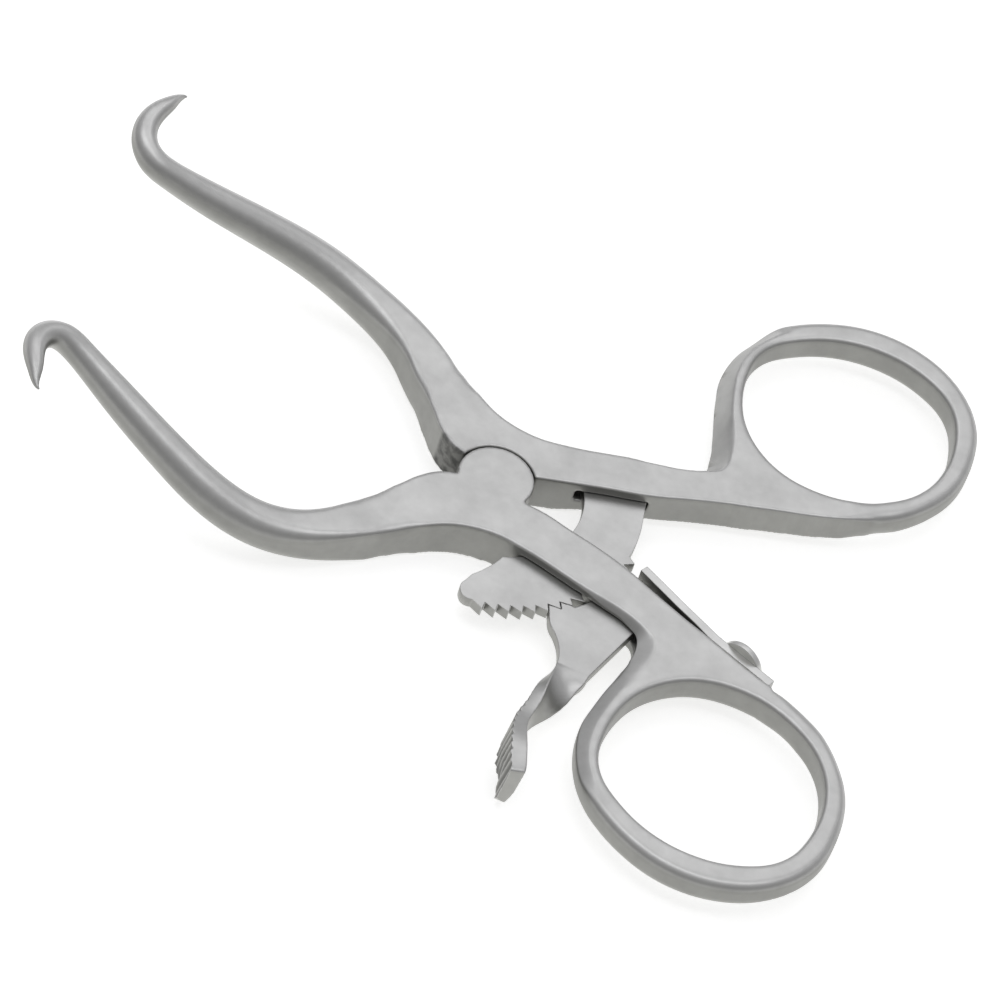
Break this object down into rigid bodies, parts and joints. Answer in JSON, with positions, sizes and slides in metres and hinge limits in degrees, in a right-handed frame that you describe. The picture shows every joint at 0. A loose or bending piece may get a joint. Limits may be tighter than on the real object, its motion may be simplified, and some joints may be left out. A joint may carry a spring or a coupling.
{
  "type": "self retaining retractor",
  "caption": "Hinged self retaining retractor with two finger rings, curved shanks ending in sharp outward prongs, a curved ratchet rack and a sprung release lever.",
  "frame": {"origin": "on the hinge axis, at the flat underside of the hinge", "axes": "+X along the middle line from the hinge to the finger rings, +Y towards the arm that carries the rack, +Z along the hinge axis to the flat top face"},
  "size_m": [0.1092, 0.0936, 0.0208],
  "materials": {
    "arm_steel": "satin stainless steel",
    "rack_steel": "satin stainless steel",
    "lever_steel": "satin stainless steel",
    "spring_steel": "satin spring steel",
    "screw_steel": "satin stainless steel"
  },
  "bodies": {
    "lever_half": {"lever_arm": "arm_steel", "hinge_screw": "screw_steel", "lever_pin": "screw_steel", "leaf_spring": "spring_steel", "spring_screw": "screw_steel"},
    "rack_half": {"rack_arm": "arm_steel", "rack": "rack_steel", "rack_pins": "screw_steel"},
    "catch": {"release_lever": "lever_steel"}
  },
  "joints": [
    {"name": "spread", "type": "hinge", "parent": "lever_half", "child": "rack_half", "pos_m": [0, 0, 0], "axis": [0, 0, -1], "range_deg": [-28.8, 28.8]},
    {"name": "release", "type": "hinge", "parent": "lever_half", "child": "catch", "pos_m": [0.01965, -0.0102, 0], "axis": [0, 0, 1], "range_deg": [0, 8], "stiffness_Nm_per_rad": 0.05, "springref_deg": -5.73, "deforming": ["leaf_spring"]}
  ]
}
